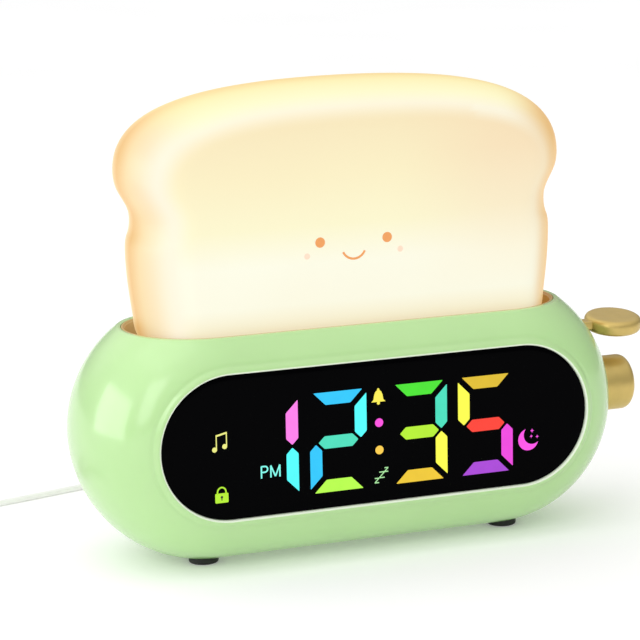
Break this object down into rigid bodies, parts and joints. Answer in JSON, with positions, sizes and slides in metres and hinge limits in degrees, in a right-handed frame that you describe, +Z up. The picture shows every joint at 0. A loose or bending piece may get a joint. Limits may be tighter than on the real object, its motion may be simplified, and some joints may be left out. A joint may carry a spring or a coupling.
{
  "type": "kids alarm clock with night light",
  "caption": "Pill-shaped table alarm clock with a glowing bread-slice night light in its top slot, a colour digital display, a side knob and a push-down side lever.",
  "frame": {"origin": "on the surface the clock stands on, under the middle of its own footprint without the cord; the knob and lever reach past the right end, so the pill's centre lies at x = -8.85 mm", "axes": "+Z up, -Y towards the display and the user, +X towards the knob and lever end"},
  "size_m": [0.2708, 0.139, 0.1576],
  "materials": {
    "green_abs": "glossy moulded ABS, pale mint green",
    "tan_liner": "satin moulded plastic, warm tan",
    "lamp_shade": "matt translucent shade, warm cream, lit from inside",
    "white_abs": "satin white ABS",
    "board": "green solder resist on glass-epoxy board",
    "led": "phosphor-topped light-emitting diodes",
    "black_window": "polished smoked acrylic, black",
    "lit_digits": "lit display bars in several colours",
    "steel": "bright plated steel",
    "black_plastic": "matt black plastic",
    "button": "glossy moulded ABS, lighter green",
    "foam": "closed-cell foam",
    "gold": "satin gold metallic lacquer",
    "foot_rubber": "matt black rubber",
    "white_cord": "satin white soft PVC"
  },
  "bodies": {
    "clock": {"front_shell": "green_abs", "rear_cover": "green_abs", "slot_liner": "tan_liner", "bread_shade": "lamp_shade", "lamp_base": "white_abs", "lamp_board": "board", "lamp_leds": "led", "display_window": "black_window", "lit_digits": "lit_digits", "lit_colon": "lit_digits", "display_reflector": "white_abs", "display_board": "board", "board_screws": "steel", "control_board": "board", "tact_switches": "black_plastic", "speaker": "black_plastic", "speaker_gasket": "foam", "coin_holder": "white_abs", "coin_cell": "steel", "battery_door": "green_abs", "power_socket": "steel", "encoder_body": "steel", "encoder_nut": "steel", "lever_guide": "white_abs", "lever_spring": "steel", "lever_switch": "black_plastic", "feet": "foot_rubber", "housing_screws": "steel", "cord_plug": "white_cord", "power_cord": "white_cord", "cord_coil": "white_cord", "usb_plug": "white_cord", "usb_plug_shell": "steel"},
    "knob": {"knob": "gold", "encoder_shaft": "steel"},
    "lever": {"lever_paddle": "gold", "lever_carriage": "white_abs"},
    "button_mode": {"button_mode": "button"},
    "button_set": {"button_set": "button"},
    "button_down": {"button_down": "button"},
    "button_up": {"button_up": "button"},
    "button_light": {"button_light": "button"}
  },
  "joints": [
    {"name": "knob_turn", "type": "hinge", "parent": "clock", "child": "knob", "pos_m": [0.09115, 0, 0.0435], "axis": [1, 0, 0], "continuous": true},
    {"name": "lever_press", "type": "slide", "parent": "clock", "child": "lever", "axis": [0, 0, -1], "range_m": [0, 0.004], "stiffness_N_per_m": 300, "springref_m": -0.003, "deforming": ["lever_spring"]},
    {"name": "button_mode_press", "type": "slide", "parent": "clock", "child": "button_mode", "axis": [0, -1, 0], "range_m": [0, 0.0008], "stiffness_N_per_m": 500, "springref_m": -0.0005},
    {"name": "button_set_press", "type": "slide", "parent": "clock", "child": "button_set", "axis": [0, -1, 0], "range_m": [0, 0.0008], "stiffness_N_per_m": 500, "springref_m": -0.0005},
    {"name": "button_down_press", "type": "slide", "parent": "clock", "child": "button_down", "axis": [0, -1, 0], "range_m": [0, 0.0008], "stiffness_N_per_m": 500, "springref_m": -0.0005},
    {"name": "button_up_press", "type": "slide", "parent": "clock", "child": "button_up", "axis": [0, -1, 0], "range_m": [0, 0.0008], "stiffness_N_per_m": 500, "springref_m": -0.0005},
    {"name": "button_light_press", "type": "slide", "parent": "clock", "child": "button_light", "axis": [0, -1, 0], "range_m": [0, 0.0008], "stiffness_N_per_m": 500, "springref_m": -0.0005}
  ]
}
